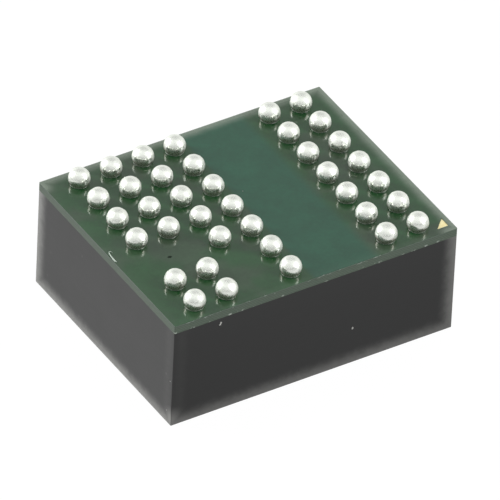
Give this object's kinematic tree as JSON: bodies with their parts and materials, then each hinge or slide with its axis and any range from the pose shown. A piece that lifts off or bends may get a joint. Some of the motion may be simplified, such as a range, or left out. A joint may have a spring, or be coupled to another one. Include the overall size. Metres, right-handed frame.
{
  "type": "bga chip",
  "caption": "Moulded ball-grid power module with an inner transformer: black moulded body, green ball side, and two banks of solder balls with an isolation gap between them.",
  "frame": {"origin": "centre of the marking face, which the module lies on", "axes": "+X along the longer side, towards the two-column bank and the pin-one edge; +Z out of the ball side; the pin-one corner is at +X, -Y"},
  "size_m": [0.0112, 0.009, 0.0049],
  "materials": {
    "mould_compound": "semi-matte sawn black mould compound",
    "laminate": "sawn glass-resin laminate",
    "solder_resist": "glossy dark green solder resist",
    "copper": "copper foil",
    "plated_copper": "pale gold plating",
    "solder": "satin solder",
    "silicon": "silicon",
    "die_attach": "silver-filled resin",
    "bond_wire": "drawn gold wire",
    "ferrite": "ground ferrite",
    "former_plastic": "pale moulded plastic",
    "enamelled_wire": "enamelled copper wire",
    "insulated_wire": "insulated winding wire",
    "ceramic_chip": "fired ceramic with tinned ends",
    "resistor_chip": "glazed chip resistor",
    "diode_compound": "moulded diode body"
  },
  "bodies": {
    "root": {"solder_ball_a1": "solder", "solder_ball_a2": "solder", "solder_ball_a3": "solder", "solder_ball_a4": "solder", "solder_ball_a5": "solder", "solder_ball_a6": "solder", "solder_ball_a7": "solder", "solder_ball_b1": "solder", "solder_ball_b2": "solder", "solder_ball_b3": "solder", "solder_ball_b4": "solder", "solder_ball_b5": "solder", "solder_ball_b6": "solder", "solder_ball_b7": "solder", "solder_ball_e1": "solder", "solder_ball_e2": "solder", "solder_ball_e3": "solder", "solder_ball_e4": "solder", "solder_ball_e5": "solder", "solder_ball_e6": "solder", "solder_ball_e7": "solder", "solder_ball_f3": "solder", "solder_ball_f4": "solder", "solder_ball_f5": "solder", "solder_ball_f6": "solder", "solder_ball_f7": "solder", "solder_ball_g1": "solder", "solder_ball_g2": "solder", "solder_ball_g4": "solder", "solder_ball_g5": "solder", "solder_ball_g6": "solder", "solder_ball_g7": "solder", "solder_ball_h1": "solder", "solder_ball_h2": "solder", "solder_ball_h4": "solder", "solder_ball_h5": "solder", "solder_ball_h6": "solder", "solder_ball_h7": "solder", "mould_cap": "mould_compound", "substrate_laminate": "laminate", "ball_side_mask": "solder_resist", "ball_side_copper": "copper", "pin_one_mark": "plated_copper", "component_side_copper": "copper", "controller_die": "silicon", "die_attach": "die_attach", "bond_wires": "bond_wire", "core_half_laminate_side": "ferrite", "core_half_marking_side": "ferrite", "coil_former": "former_plastic", "primary_winding": "enamelled_wire", "secondary_winding": "insulated_wire", "input_capacitor": "ceramic_chip", "bias_capacitor": "ceramic_chip", "output_capacitor": "ceramic_chip", "feedback_resistor": "resistor_chip", "rectifier_diode": "diode_compound"}
  },
  "joints": []
}
